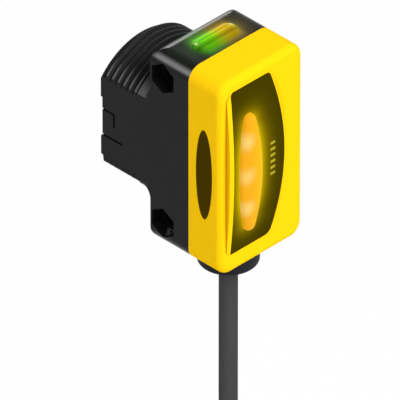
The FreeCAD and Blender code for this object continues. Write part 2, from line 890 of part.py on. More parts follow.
def tube(points, radii, radius, name):
    """A round solid along a bent path; prints its radii and how its volume compares."""
    path = bent_path(points, radii)
    direction = (points[1] - points[0]).normalize()
    circle = Part.Wire(Part.makeCircle(radius, points[0], direction))
    solid = path.makePipeShell([circle], True, True)
    expected = math.pi * radius**2 * path.Length
    listed = ", ".join(f"{value:.1f}" for value in radii)
    print(f"{name}: length {path.Length:.1f}, radii {listed}, volume ratio {solid.Volume / expected:.4f}")
    return solid


def inner_core(index):
    """One core from the cable's tail up to its pad on the main board."""
    angle = math.radians(core_start_angles[core_names[index]])
    start_x = gland_x + core_ring_radius * math.cos(angle)
    start_y = core_ring_radius * math.sin(angle)
    pad_x = main_board_front_x + core_radius + fit_gap
    pad_y = core_pad_spacing * (index - 2)
    notch_top = tail_top_z + board_notch_above_tail
    points = [
        Vector(start_x, start_y, tail_top_z),
        Vector(start_x, start_y, tail_top_z + core_straight),
        Vector(pad_x, pad_y, notch_top - core_pad_gap),
        Vector(pad_x, pad_y, notch_top + core_pad_length),
    ]
    return tube(points, [core_bend_radius, core_bend_radius], core_radius, core_names[index] + "_core")


def lead_points():
    points = [Vector(gland_x, 0, gland_bottom_z)]
    for step_x, step_z in lead_steps:
        points.append(points[-1] + Vector(step_x, 0, step_z))
    return points


def coil_centre():
    """The last run of the lead touches the coil's outer strand, which sets the coil's centre."""
    before, last = lead_points()[-2:]
    run = (last - before).normalize()
    return last + Vector(run.z, 0, -run.x) * coil_strand_radius


def ellipse_ring(half_depth, half_width):
    """A ring in the plane Y = 0 around the coil's centre, with an oval section."""
    centre = coil_centre()
    middle = centre + Vector(coil_mean_radius, 0, 0)
    if half_depth >= half_width:
        oval = Part.Ellipse(middle + Vector(half_depth, 0, 0), middle + Vector(0, half_width, 0), middle)
    else:
        oval = Part.Ellipse(middle + Vector(0, half_width, 0), middle + Vector(half_depth, 0, 0), middle)
    face = Part.Face(Part.Wire(oval.toShape()))
    return face.revolve(centre, Vector(0, 1, 0), 360)


def cable_coil():
    return ellipse_ring(coil_half_depth, coil_half_width)


def cable_lead():
    points = lead_points()
    return tube(points, route_radii(points), cable_radius, "cable_lead").cut(cable_coil())


def coil_ties():
    """Two straps round the coil, each with its square head on the outside."""
    centre = coil_centre()
    band = ellipse_ring(coil_half_depth + tie_thickness, coil_half_width + tie_thickness).cut(cable_coil())
    solids = []
    reach = 2 * coil_half_width
    half_tie = tie_width / 2
    half_head = tie_head_size / 2
    strap_x = coil_mean_radius + coil_half_depth + tie_thickness / 2
    for angle in tie_angles:
        slice_box = box(0, 2 * coil_mean_radius, -reach, reach, -half_tie, half_tie)
        head = box(strap_x, strap_x + half_head, -half_head, half_head, -half_head, half_head)
        for piece in (slice_box, head):
            piece.translate(centre)
            piece.rotate(centre, Vector(0, 1, 0), -angle)
        strap = band.common(slice_box).fuse(head.cut(cable_coil()))
        solids.append(strap.removeSplitter())
    return Part.makeCompound(solids)


def cable_end_points():
    """The cut end leaves the coil along its outer strand and bends down under its own weight."""
    angle = math.radians(cable_end_angle)
    outwards = Vector(math.cos(angle), 0, math.sin(angle))
    heading = math.atan2(-math.cos(angle), math.sin(angle))
    points = [coil_centre() + outwards * coil_strand_radius]
    for _ in range(cable_end_runs):
        step = Vector(math.cos(heading), 0, math.sin(heading)) * cable_end_run
        points.append(points[-1] + step)
        heading += math.radians(cable_end_turn)
    return points


def cable_end():
    points = cable_end_points()
    return tube(points, route_radii(points), cable_radius, "cable_end").cut(cable_coil())


def end_core(index):
    """One bare core at the cut end, fanned out from the jacket."""
    points = cable_end_points()
    end = points[-1]
    along = (end - points[-2]).normalize()
    side = Vector(0, 1, 0)
    across = along.cross(side)
    angle = math.radians(90 + core_end_step * index)
    offset = side * math.cos(angle) + across * math.sin(angle)
    start = end + offset * core_ring_radius
    elbow = start + along * core_end_straight
    tip = elbow + along * core_end_fan + offset * core_end_spread
    points = [start, elbow, tip]
    return tube(points, route_radii(points), core_radius, core_names[index] + "_end_core")


def save(shape, node):
    solids = shape.Solids
    kept = solids[0] if len(solids) == 1 else Part.makeCompound(solids)
    if not kept.isValid():
        print(f"NOT VALID: {node}")
    kept.exportStep(f"parts/{node}.step")
    print(f"{node}: {len(solids)} solid, volume {kept.Volume:.1f}")


def main():
    os.makedirs("parts", exist_ok=True)
    header_z = lens_z + link_header_rise
    led_header_z = -main_board_half_height + led_header_rise
    back_of_optics = holder_back_x + board_thickness
    save(housing(), "housing")
    save(rear_cover(), "rear_cover")
    save(indicator_window(), "indicator_window")
    save(light_bar(), "light_bar")
    save(status_dome(), "status_dome")
    save(cover_seal(), "cover_seal")
    save(lens_plate(), "lens_plate")
    save(lens_gasket(), "lens_gasket")
    save(optics_holder(), "optics_holder")
    save(lens(lens_z), "emitter_lens")
    save(lens(-lens_z), "receiver_lens")
    save(optics_board(), "optics_board")
    save(emitter_led(), "emitter_led")
    save(receiver_diodes(), "receiver_diodes")
    save(receiver_shield(), "receiver_shield")
    save(pin_block(back_of_optics, main_board_x, 4, header_z), "link_header")
    save(pins(back_of_optics, main_board_x, 4, header_z), "link_pins")
    save(main_board(), "main_board")
    save(controller_chip(), "controller_chip")
    save(regulator_chip(), "regulator_chip")
    save(capacitors(), "capacitors")
    save(output_transistors(), "output_transistors")
    save(pin_block(main_board_front_x, led_board_x, 3, led_header_z), "led_header")
    save(pins(main_board_front_x, led_board_x, 3, led_header_z), "led_header_pins")
    save(led_board(), "led_board")
    save(output_leds(), "output_leds")
    save(top_led(-dome_lamp_y), "power_led")
    save(top_led(dome_lamp_y), "signal_led")
    save(cable_gland(), "cable_gland")
    save(crimp_ring(), "crimp_ring")
    save(cable_tail(), "cable_tail")
    for index, colour in enumerate(core_names):
        save(inner_core(index), colour + "_core")
    save(cable_lead(), "cable_lead")
    save(cable_coil(), "cable_coil")
    save(coil_ties(), "coil_ties")
    save(cable_end(), "cable_end")
    for index, colour in enumerate(core_names):
        save(end_core(index), colour + "_end_core")


main()
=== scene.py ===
import math

import bpy
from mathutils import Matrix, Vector


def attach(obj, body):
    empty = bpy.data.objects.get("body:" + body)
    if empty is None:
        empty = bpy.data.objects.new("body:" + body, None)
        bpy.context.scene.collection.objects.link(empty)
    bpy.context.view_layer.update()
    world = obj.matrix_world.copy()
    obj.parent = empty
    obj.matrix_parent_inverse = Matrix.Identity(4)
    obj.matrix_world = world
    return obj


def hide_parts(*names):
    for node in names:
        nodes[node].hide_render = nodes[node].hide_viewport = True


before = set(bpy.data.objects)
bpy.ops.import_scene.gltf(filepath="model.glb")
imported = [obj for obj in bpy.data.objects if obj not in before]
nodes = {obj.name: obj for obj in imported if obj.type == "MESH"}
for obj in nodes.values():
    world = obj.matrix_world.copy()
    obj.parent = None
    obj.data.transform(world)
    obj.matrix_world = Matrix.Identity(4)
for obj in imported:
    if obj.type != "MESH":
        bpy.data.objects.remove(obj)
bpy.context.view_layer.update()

scene = bpy.context.scene
MM = 0.001


def box_mm(name):
    """A node's lowest corner, highest corner and middle, in millimetres."""
    corners = [Vector(corner) / MM for corner in nodes[name].bound_box]
    low = Vector([min(values) for values in zip(*corners)])
    high = Vector([max(values) for values in zip(*corners)])
    return low, high, (low + high) / 2


# Camera, at the isometric angle of the photograph

VIEW_WIDTH = 75.47 * MM
LENS = 1500.0
SENSOR = 36.0
NEAREST = 0.05
FARTHEST = 12.0
TARGET = Vector((7.31, -5.05, -12.25)) * MM
BACK = Vector((1.0, -1.0, 1.0)).normalized()


def make_camera():
    data = bpy.data.cameras.new("photo_camera")
    data.lens = LENS
    data.sensor_width = SENSOR
    data.clip_start = NEAREST
    data.clip_end = FARTHEST
    camera = bpy.data.objects.new("photo_camera", data)
    camera.location = TARGET + BACK * (VIEW_WIDTH * LENS / SENSOR)
    camera.rotation_euler = BACK.to_track_quat("Z", "Y").to_euler()
    scene.collection.objects.link(camera)
    scene.camera = camera


# Cable: the lead's points are those of the CAD, as X and Z in millimetres in the plane Y = 0

CABLE_DIAMETER = 3.7 * MM
LEAD_ROUTE = [
    (9.85, -27.0),
    (9.85, -52.0),
    (9.85, -65.0),
    (12.99, -77.61),
    (19.46, -86.51),
    (28.12, -91.51),
]
CORE_COLOURS = {
    "brown": (0.16, 0.06, 0.02),
    "white": (0.75, 0.75, 0.73),
    "blue": (0.02, 0.08, 0.4),
    "black": (0.02, 0.02, 0.02),
    "grey": (0.3, 0.3, 0.3),
}

# Coil, in millimetres and degrees: each layer is its depth in strand spacings and its number of turns

COIL_MEAN_RADIUS = 22.0
OUTER_STRAND_RADIUS = 26.8
STRAND_SPACING = 3.7
STRAND_LAYERS = [(1.2, 3), (0.35, 4), (-0.5, 4), (-1.35, 3)]
LEAD_END_ANGLE = 60.0
POINTS_PER_TURN = 18
CROSSING_SHARE = 0.3

# Cut end, in straight steps that each bend down a little

END_ANGLE = 45.0
END_STEP = 10.0
END_STEPS = 3
END_STEP_TURN = -12.0


def coil_centre():
    """The centre from which the outer strand goes on in the direction of the lead's last stretch."""
    (x0, z0), (x1, z1) = LEAD_ROUTE[-2:]
    length = math.hypot(x1 - x0, z1 - z0)
    x = x1 + OUTER_STRAND_RADIUS * (z1 - z0) / length
    z = z1 - OUTER_STRAND_RADIUS * (x1 - x0) / length
    return x, z


def strand_places():
    """Each turn's place in the bundle's section, as depth from the middle radius and place along Y."""
    places = []
    for number, (depth, count) in enumerate(STRAND_LAYERS):
        sides = [(slot - (count - 1) / 2) * STRAND_SPACING for slot in range(count)]
        row = [(depth * STRAND_SPACING, side) for side in sides]
        places += row if number % 2 == 0 else row[::-1]
    return places


def smooth_share(share):
    """The same share with a soft start and end."""
    return share * share * (3.0 - 2.0 * share)


def between(first, second, share):
    return first * (1 - share) + second * share


def coil_points(centre):
    """Clockwise turns, each at its own place in the bundle, from the lead to the cut end."""
    outer = (OUTER_STRAND_RADIUS - COIL_MEAN_RADIUS, 0.0)
    places = [outer] + strand_places() + [outer]
    turns = len(places) - 2
    sweep = 360.0 * turns + LEAD_END_ANGLE - END_ANGLE
    steps = round(sweep / 360.0 * POINTS_PER_TURN)
    points = []
    for step in range(1, steps):
        share = step / steps
        along = share * (len(places) - 1)
        index = min(int(along), len(places) - 2)
        crossed = smooth_share(min(1.0, (along - index) / CROSSING_SHARE))
        depth, side = places[index]
        next_depth, next_side = places[index + 1]
        radius = COIL_MEAN_RADIUS + between(depth, next_depth, crossed)
        y = between(side, next_side, crossed)
        angle = math.radians(LEAD_END_ANGLE - sweep * share)
        points.append((centre[0] + radius * math.cos(angle), y, centre[1] + radius * math.sin(angle)))
    return points


def end_points(centre):
    """The cut end leaves the coil along its outer strand and bends down under its own weight."""
    angle = math.radians(END_ANGLE)
    x = centre[0] + OUTER_STRAND_RADIUS * math.cos(angle)
    z = centre[1] + OUTER_STRAND_RADIUS * math.sin(angle)
    heading = math.atan2(-math.cos(angle), math.sin(angle))
    points = [(x, 0.0, z)]
    for _ in range(END_STEPS):
        x += END_STEP * math.cos(heading)
        z += END_STEP * math.sin(heading)
        points.append((x, 0.0, z))
        heading += math.radians(END_STEP_TURN)
    return points


def cable_curve(points):
    """A round curve along the points; each point's radius carries the thickness, so its box is true."""
    data = bpy.data.curves.new("sensor_cable", "CURVE")
    data.dimensions = "3D"
    data.resolution_u = 8
    spline = data.splines.new("NURBS")
    spline.points.add(len(points) - 1)
    for target, point in zip(spline.points, points):
        x, y, z = point
        target.co = (x * MM, y * MM, z * MM, 1.0)
        target.radius = CABLE_DIAMETER / 2
    spline.order_u = 3
    spline.use_endpoint_u = True
    data.bevel_depth = 1.0
    data.bevel_resolution = 6
    data.use_fill_caps = True
    return data


def spline_length(curve_object):
    """The length of the curve's middle line, measured with its thickness off."""
    depsgraph = bpy.context.evaluated_depsgraph_get()
    bevel = curve_object.data.bevel_depth
    curve_object.data.bevel_depth = 0.0
    depsgraph.update()
    mesh = bpy.data.meshes.new_from_object(curve_object.evaluated_get(depsgraph))
    curve_object.data.bevel_depth = bevel
    places = [vertex.co for vertex in mesh.vertices]
    total = sum((second - first).length for first, second in zip(places, places[1:]))
    bpy.data.meshes.remove(mesh)
    return total


def make_cable():
    centre = coil_centre()
    points = [(x, 0.0, z) for x, z in LEAD_ROUTE]
    points += coil_points(centre)
    points += end_points(centre)
    cable = bpy.data.objects.new("sensor_cable", cable_curve(points))
    scene.collection.objects.link(cable)
    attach(cable, "root")
    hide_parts("cable_lead", "cable_coil", "cable_end")
    spline_length(cable)
    return cable


# Surface of the mouldings: scales of the noise, and how far it shifts the roughness

GRAIN_SCALE = 9000.0
GRAIN_HEIGHT = 0.02 * MM
GRAIN_SHIFT = (-0.04, 0.05)
PATCH_SCALE = 260.0
PATCH_SHIFT = (-0.03, 0.03)
CLOUD_SCALE = 180.0
NOISE_ROUGHNESS = 0.55
METAL_GRAIN_SCALE = 3000.0
METAL_SHIFT = (-0.06, 0.08)
METAL_DARKER = 0.8
CORE_DARKER = 0.85

# A mask's soft step, and how far inside the surface that it catches it lies, in millimetres

MASK_EDGE = 0.05
MASK_MARGIN = 0.1

# Places of the sockets of a mix node, which also mixes numbers and vectors

MIX_FACTOR = 0
MIX_COLOUR_A = 6
MIX_COLOUR_B = 7
MIXED_COLOUR = 2


def new_material(name):
    material = bpy.data.materials.new(name)
    material.use_nodes = True
    tree = material.node_tree
    shader = tree.nodes["Principled BSDF"]
    return material, tree, shader


def add(tree, kind, **values):
    node = tree.nodes.new(kind)
    for key, value in values.items():
        setattr(node, key, value)
    return node


def fill(tree, socket, value):
    """Links a socket, or sets it to a constant."""
    if hasattr(value, "default_value"):
        tree.links.new(value, socket)
    else:
        socket.default_value = value


def fill_colour(tree, socket, colour):
    """Links a colour socket, or sets it to a constant red, green and blue."""
    if hasattr(colour, "default_value"):
        tree.links.new(colour, socket)
    else:
        socket.default_value = (*colour, 1.0)


def object_place(tree):
    return add(tree, "ShaderNodeTexCoord").outputs["Object"]


def scaled(tree, vector, factor):
    node = add(tree, "ShaderNodeVectorMath", operation="SCALE")
    node.inputs["Scale"].default_value = factor
    tree.links.new(vector, node.inputs[0])
    return node.outputs[0]


def millimetres(tree):
    """The object's own x, y and z as three outputs in millimetres."""
    parts = add(tree, "ShaderNodeSeparateXYZ")
    tree.links.new(scaled(tree, object_place(tree), 1.0 / MM), parts.inputs[0])
    return parts.outputs["X"], parts.outputs["Y"], parts.outputs["Z"]


def maths(tree, operation, first, second=0.0):
    node = add(tree, "ShaderNodeMath", operation=operation)
    fill(tree, node.inputs[0], first)
    fill(tree, node.inputs[1], second)
    return node.outputs[0]


def absolute(tree, value):
    return maths(tree, "ABSOLUTE", value)


def minus(tree, first, second):
    return maths(tree, "SUBTRACT", first, second)


def times(tree, first, second):
    return maths(tree, "MULTIPLY", first, second)


def sum_of_squares(tree, first, second):
    return maths(tree, "ADD", maths(tree, "POWER", first, 2.0), maths(tree, "POWER", second, 2.0))


def hypotenuse(tree, first, second):
    return maths(tree, "SQRT", sum_of_squares(tree, first, second))


def noise(tree, place, scale, detail):
    node = add(tree, "ShaderNodeTexNoise")
    node.inputs["Scale"].default_value = scale
    node.inputs["Detail"].default_value = detail
    node.inputs["Roughness"].default_value = NOISE_ROUGHNESS
    tree.links.new(place, node.inputs["Vector"])
    return node.outputs["Fac"]


def ramp(tree, factor, low, high, from_low=0.0, from_high=1.0, smooth=False):
    """Runs from the low to the high value while the factor runs over its own range."""
    node = add(tree, "ShaderNodeMapRange")
    if smooth:
        node.interpolation_type = "SMOOTHSTEP"
    node.inputs["From Min"].default_value = from_low
    node.inputs["From Max"].default_value = from_high
    node.inputs["To Min"].default_value = low
    node.inputs["To Max"].default_value = high
    tree.links.new(factor, node.inputs["Value"])
    return node.outputs["Result"]


def above(tree, value, limit, edge=MASK_EDGE):
    """1 above the limit, 0 below it."""
    return ramp(tree, value, 0.0, 1.0, limit - edge, limit + edge)


def below(tree, value, limit, edge=MASK_EDGE):
    """1 below the limit, 0 above it."""
    return ramp(tree, value, 1.0, 0.0, limit - edge, limit + edge)


def mix_colours(tree, factor, colour_a, colour_b):
    node = add(tree, "ShaderNodeMix", data_type="RGBA")
    fill_colour(tree, node.inputs[MIX_COLOUR_A], colour_a)
    fill_colour(tree, node.inputs[MIX_COLOUR_B], colour_b)
    tree.links.new(factor, node.inputs[MIX_FACTOR])
    return node.outputs[MIXED_COLOUR]


def colour_steps(tree, factor, steps):
    """A colour ramp from (place, colour) pairs."""
    node = add(tree, "ShaderNodeValToRGB")
    elements = node.color_ramp.elements
    while len(elements) < len(steps):
        elements.new(1.0)
    for element, (place, colour) in zip(elements, steps):
        element.position = place
        element.color = (*colour, 1.0)
    tree.links.new(factor, node.inputs["Fac"])
    return node.outputs["Color"]


def bump(tree, height, strength):
    node = add(tree, "ShaderNodeBump")
    node.inputs["Strength"].default_value = strength
    node.inputs["Distance"].default_value = GRAIN_HEIGHT
    tree.links.new(height, node.inputs["Height"])
    return node.outputs["Normal"]


def stadium_distance(tree, u, v, centre_u, half_run, radius):
    """Distance outside a stadium that runs along v."""
    across = minus(tree, u, centre_u)
    beyond = maths(tree, "MAXIMUM", minus(tree, absolute(tree, v), half_run), 0.0)
    return minus(tree, hypotenuse(tree, across, beyond), radius)


def spot(tree, u, v, centre_u, centre_v, reach):
    """1 at a point, fading smoothly to 0 at the reach."""
    distance = hypotenuse(tree, minus(tree, u, centre_u), minus(tree, v, centre_v))
    return ramp(tree, distance, 1.0, 0.0, 0.0, reach, smooth=True)


def fade(tree, distance, length):
    """1 at distance 0, falling off as an exponential."""
    share = maths(tree, "DIVIDE", maths(tree, "MAXIMUM", distance, 0.0), -length)
    return maths(tree, "EXPONENT", share)


def finish_plastic(tree, shader, colour, roughness, specular, grain):
    """The surface of a moulding: the given colour, uneven gloss and a fine spark-eroded grain."""
    place = object_place(tree)
    fine = noise(tree, place, GRAIN_SCALE, detail=2.0)
    patches = noise(tree, place, PATCH_SCALE, detail=3.0)
    uneven = maths(tree, "ADD", ramp(tree, fine, *GRAIN_SHIFT), ramp(tree, patches, *PATCH_SHIFT))
    gloss = maths(tree, "ADD", uneven, roughness)
    tree.links.new(colour, shader.inputs["Base Color"])
    tree.links.new(gloss, shader.inputs["Roughness"])
    shader.inputs["Specular IOR Level"].default_value = specular
    if grain:
        tree.links.new(bump(tree, fine, grain), shader.inputs["Normal"])


def clouded(tree, darker, colour):
    """A colour with faint flow clouds in it."""
    clouds = noise(tree, object_place(tree), CLOUD_SCALE, detail=4.0)
    return mix_colours(tree, clouds, darker, colour)


def moulded(name, colour, darker, roughness, grain=0.12, specular=0.5):
    material, tree, shader = new_material(name)
    finish_plastic(tree, shader, clouded(tree, darker, colour), roughness, specular, grain)
    return material


def metal(name, colour, roughness):
    material, tree, shader = new_material(name)
    fine = noise(tree, object_place(tree), METAL_GRAIN_SCALE, detail=3.0)
    tone = [channel * METAL_DARKER for channel in colour]
    low, high = [roughness + shift for shift in METAL_SHIFT]
    tree.links.new(mix_colours(tree, fine, tone, colour), shader.inputs["Base Color"])
    tree.links.new(ramp(tree, fine, low, high), shader.inputs["Roughness"])
    shader.inputs["Metallic"].default_value = 1.0
    return material


# Cable jacket

JACKET = (0.065, 0.065, 0.066)
JACKET_DARK = (0.058, 0.058, 0.059)
# Painted shade: the colour and the share of the darkening laid on the jacket's sides
JACKET_RIM_SHADE = (0.02, 0.02, 0.02)
JACKET_RIM_SHADE_SHARE = 0.75


def jacket_material():
    """Grey cable jacket, with painted shade towards its sides, where its surface turns away from view.
    """
    material, tree, shader = new_material("cable_jacket")
    facing = add(tree, "ShaderNodeLayerWeight").outputs["Facing"]
    rim_shade = times(tree, facing, JACKET_RIM_SHADE_SHARE)
    colour = mix_colours(tree, rim_shade, clouded(tree, JACKET_DARK, JACKET), JACKET_RIM_SHADE)
    finish_plastic(tree, shader, colour, roughness=0.55, specular=0.05, grain=0.15)
    return material


# Status dome, in millimetres; its colours run along it, the pipe's lines across it as (place, light)

DOME_COLOURS = [
    (0.0, (0.03, 0.17, 0.006)),
    (0.09, (0.1, 0.44, 0.008)),
    (0.2, (0.2, 0.92, 0.008)),
    (0.38, (0.28, 0.96, 0.006)),
    (0.5, (0.57, 0.88, 0.01)),
    (0.62, (0.88, 0.7, 0.008)),
    (0.75, (0.94, 0.62, 0.006)),
    (0.9, (0.85, 0.62, 0.02)),
    (1.0, (0.4, 0.3, 0.02)),
]
DOME_COLOUR_REACH = 6.0
DOME_BODY_SHARE = 0.3
DOME_GLOW = 0.5
PIPE_HALF_WIDTH = 2.3
PIPE_LINES = [
    (0.06, 0.42),
    (0.18, 1.0),
    (0.3, 1.0),
    (0.36, 0.56),
    (0.41, 0.6),
    (0.48, 1.0),
    (0.57, 0.7),
    (0.7, 0.38),
    (0.84, 0.56),
    (1.0, 0.36),
]
PIPE_LAMPS = [(5.7, -4.5), (5.6, 4.8)]
PIPE_LAMP_REACH = 0.6
PIPE_LAMP_COLOUR = (0.9, 0.95, 0.5)


def lamp_colours(tree, y, brightness):
    """Along the status dome: green at the power end, amber at the signal end."""
    share = ramp(tree, y, 0.0, 1.0, -DOME_COLOUR_REACH, DOME_COLOUR_REACH)
    steps = [(place, [channel * brightness for channel in colour]) for place, colour in DOME_COLOURS]
    return colour_steps(tree, share, steps)


def dome_material():
    """Clear status dome: the lit light pipe under it shows as bright and dark lines along it."""
    material, tree, shader = new_material("clear_lens")
    x, y, _ = millimetres(tree)
    _, _, middle = box_mm("status_dome")
    across = ramp(tree, x, 0.0, 1.0, middle.x - PIPE_HALF_WIDTH, middle.x + PIPE_HALF_WIDTH)
    lines = colour_steps(tree, across, [(place, (light, light, light)) for place, light in PIPE_LINES])
    piped = add(tree, "ShaderNodeVectorMath", operation="MULTIPLY")
    tree.links.new(lamp_colours(tree, y, 1.0), piped.inputs[0])
    tree.links.new(lines, piped.inputs[1])
    lamps = 0.0
    for lamp_x, lamp_y in PIPE_LAMPS:
        lamps = maths(tree, "ADD", spot(tree, x, y, lamp_x, lamp_y, PIPE_LAMP_REACH), lamps)
    glow = mix_colours(tree, lamps, piped.outputs[0], PIPE_LAMP_COLOUR)
    body = scaled(tree, glow, DOME_BODY_SHARE)
    finish_plastic(tree, shader, body, roughness=0.08, specular=0.03, grain=0.02)
    tree.links.new(glow, shader.inputs["Emission Color"])
    shader.inputs["Emission Strength"].default_value = DOME_GLOW
    return material


# Black housing, in millimetres and radians

BLACK = (0.0056, 0.0056, 0.0057)
BLACK_DARK = (0.0044, 0.0044, 0.0045)
BLACK_ROUGHNESS = 0.27
# The thread's lighter black: partly the cut surface's own grey, partly painted sheen for light on its
# flanks
CUT_BLACK_AND_SHEEN = (0.008, 0.008, 0.0081)
CUT_ROUGHNESS = 0.5
# The grey of the painted highlights on the case's rounded edges, the collar and the thread's crests
HIGHLIGHT_GREY = (0.135, 0.135, 0.135)

COLLAR_LENGTH = 2.75
END_LIP_RADIUS = 14.0
THREAD_CREST_RADIUS = 14.9

CASE_CORNER_RADIUS = 3.0
# Where the painted edge highlight runs: its turn and reach in radians, and where it starts and reaches
# full strength along x
HIGHLIGHT_TURN = 0.93
HIGHLIGHT_REACH = 0.33
HIGHLIGHT_START_X = 0.3
HIGHLIGHT_FULL_X = 1.8
LEAST_RISE = 0.0001

CREST_SHARE = 0.6
CREST_START_Y = 7.5
CREST_FULL_Y = 10.5
CREST_FULL_X = -1.7
CREST_END_X = -0.6

POOL_BRIGHTNESS = 0.42
POOL_FADE = 1.3
POOL_DEPTH = 2.5
POOL_FULL_DEPTH = 0.6


def thread_mask(tree, x, y, z):
    """1 on the barrel's cut thread and its end lip, 0 on its flats, on the collar and on the case."""
    _, high, _ = box_mm("housing")
    round_part = above(tree, hypotenuse(tree, y, z), END_LIP_RADIUS - MASK_MARGIN)
    beside_flats = below(tree, absolute(tree, y), high.y - MASK_MARGIN)
    barrel = below(tree, x, MASK_EDGE - COLLAR_LENGTH)
    return times(tree, times(tree, round_part, beside_flats), barrel)


def painted_edge_highlight(tree, x, y, z):
    """Painted highlight: 1 along the middle of the case's long rounded edges, 0 on its flat faces and on
    the barrel.
    """
    _, high, _ = box_mm("housing")
    corner_y = high.y - CASE_CORNER_RADIUS
    corner_z = high.z - CASE_CORNER_RADIUS
    beyond_y = maths(tree, "MAXIMUM", minus(tree, absolute(tree, y), corner_y), 0.0)
    beyond_z = maths(tree, "MAXIMUM", minus(tree, absolute(tree, z), corner_z), LEAST_RISE)
    turn = maths(tree, "ARCTAN2", beyond_y, beyond_z)
    off_middle = absolute(tree, minus(tree, turn, HIGHLIGHT_TURN))
    line = ramp(tree, off_middle, 1.0, 0.0, 0.0, HIGHLIGHT_REACH, smooth=True)
    case = ramp(tree, x, 0.0, 1.0, HIGHLIGHT_START_X, HIGHLIGHT_FULL_X, smooth=True)
    return times(tree, line, case)


def painted_crest_highlights(tree, x, y, z):
    """Painted highlight: above 0 on the collar and the thread's crests next to the flats, fading round
    the barrel.
    """
    crest = above(tree, hypotenuse(tree, y, z), THREAD_CREST_RADIUS - MASK_MARGIN)
    near_flat = ramp(tree, absolute(tree, y), 0.0, 1.0, CREST_START_Y, CREST_FULL_Y, smooth=True)
    barrel = ramp(tree, x, CREST_SHARE, 0.0, CREST_FULL_X, CREST_END_X, smooth=True)
    return times(tree, times(tree, crest, near_flat), barrel)


def light_pool(tree, x, y, z):
    """1 on the black top at the status dome's edge, fading away from it."""
    low, high, middle = box_mm("status_dome")
    half_width = (high.x - low.x) / 2
    half_run = (high.y - low.y) / 2 - half_width
    near = fade(tree, stadium_distance(tree, x, y, middle.x, half_run, half_width), POOL_FADE)
    _, case_high, _ = box_mm("housing")
    lowest = case_high.z - POOL_DEPTH
    full = case_high.z - POOL_FULL_DEPTH
    on_top = ramp(tree, z, 0.0, 1.0, lowest, full, smooth=True)
    return times(tree, near, on_top)


def housing_material():
    """Black moulding with painted highlights along the case's rounded edges, on the collar and on the
    crests next to the flats; the lit dome throws a soft green and amber light on the top around it.
    """
    material, tree, shader = new_material("black_plastic")
    x, y, z = millimetres(tree)
    thread = thread_mask(tree, x, y, z)
    black = mix_colours(tree, thread, clouded(tree, BLACK_DARK, BLACK), CUT_BLACK_AND_SHEEN)
    # Painted highlights on the rounded edges, the collar and the crests
    painted_highlights = maths(tree, "MAXIMUM", painted_edge_highlight(tree, x, y, z), painted_crest_highlights(tree, x, y, z))
    colour = mix_colours(tree, painted_highlights, black, HIGHLIGHT_GREY)
    roughness = ramp(tree, thread, BLACK_ROUGHNESS, CUT_ROUGHNESS)
    finish_plastic(tree, shader, colour, roughness, specular=0.09, grain=0.04)
    tree.links.new(lamp_colours(tree, y, POOL_BRIGHTNESS), shader.inputs["Emission Color"])
    tree.links.new(light_pool(tree, x, y, z), shader.inputs["Emission Strength"])
    return material


# Yellow cover, in millimetres; the crevice limits are shares of open surroundings

YELLOW = (1.0, 0.6, 0.0055)
YELLOW_DARK = (0.98, 0.58, 0.005)
# The colour of the painted shade in the cover's crevices
YELLOW_CREVICE_SHADE = (0.5, 0.23, 0.001)
CREVICE_REACH = 1.4 * MM
CREVICE_FULL = 0.52
CREVICE_START = 0.98
DARK_PRINT = (0.062, 0.037, 0.0014)
PRINT_SHIFT_X = -0.7
PRINT_HALF_WIDTH = 2.15
PRINT_HALF_HEIGHT = 10.2
OVAL_EDGE = 0.03


def print_field(tree, x, y, z):
    """1 inside the upright oval on the cover's side, 0 elsewhere."""
    low, _, middle = box_mm("rear_cover")
    across = maths(tree, "DIVIDE", minus(tree, x, middle.x + PRINT_SHIFT_X), PRINT_HALF_WIDTH)
    along = maths(tree, "DIVIDE", z, PRINT_HALF_HEIGHT)
    oval = below(tree, sum_of_squares(tree, across, along), 1.0, OVAL_EDGE)
    on_side = below(tree, y, low.y + MASK_MARGIN)
    return times(tree, oval, on_side)


def cover_material():
    """Yellow moulding with painted shade in its crevices, and a plain dark oval field on its side."""
    material, tree, shader = new_material("yellow_plastic")
    # Painted shade: darkening where the cover's surroundings close in
    surroundings = add(tree, "ShaderNodeAmbientOcclusion")
    surroundings.inputs["Distance"].default_value = CREVICE_REACH
    crevice_shade = ramp(tree, surroundings.outputs["AO"], 1.0, 0.0, CREVICE_FULL, CREVICE_START)
    yellow = mix_colours(tree, crevice_shade, clouded(tree, YELLOW_DARK, YELLOW), YELLOW_CREVICE_SHADE)
    colour = mix_colours(tree, print_field(tree, *millimetres(tree)), yellow, DARK_PRINT)
    finish_plastic(tree, shader, colour, roughness=0.4, specular=0.0, grain=0.03)
    return material


# Smoked window, in millimetres; the halo lies round the bar's middle line and narrows to its ends

SMOKED = (0.047, 0.036, 0.0005)
SMOKED_DARK = (0.041, 0.031, 0.0004)

HALO_COLOUR = (1.0, 0.72, 0.0, 1.0)
HALO_STRENGTH = 0.72
HALO_SHIFT_Y = 0.2
HALO_HALF_WIDTH = 2.75
HALO_END_HALF_WIDTH = 1.2
HALO_HALF_LENGTH = 10.7
HALO_TAPER = 3.0
HALO_FADE = 1.25

TICK_COLOUR = (0.36, 0.3, 0.02)
TICK_Y = 1.85
TICK_HALF_WIDTH = 0.62
TICK_LOW_Z = -3.5
TICK_HIGH_Z = 4.9
TICK_STEP = 1.4
TICK_SHARE = 0.42
TICK_EDGE = 0.04
TICK_SHARE_EDGE = 0.03


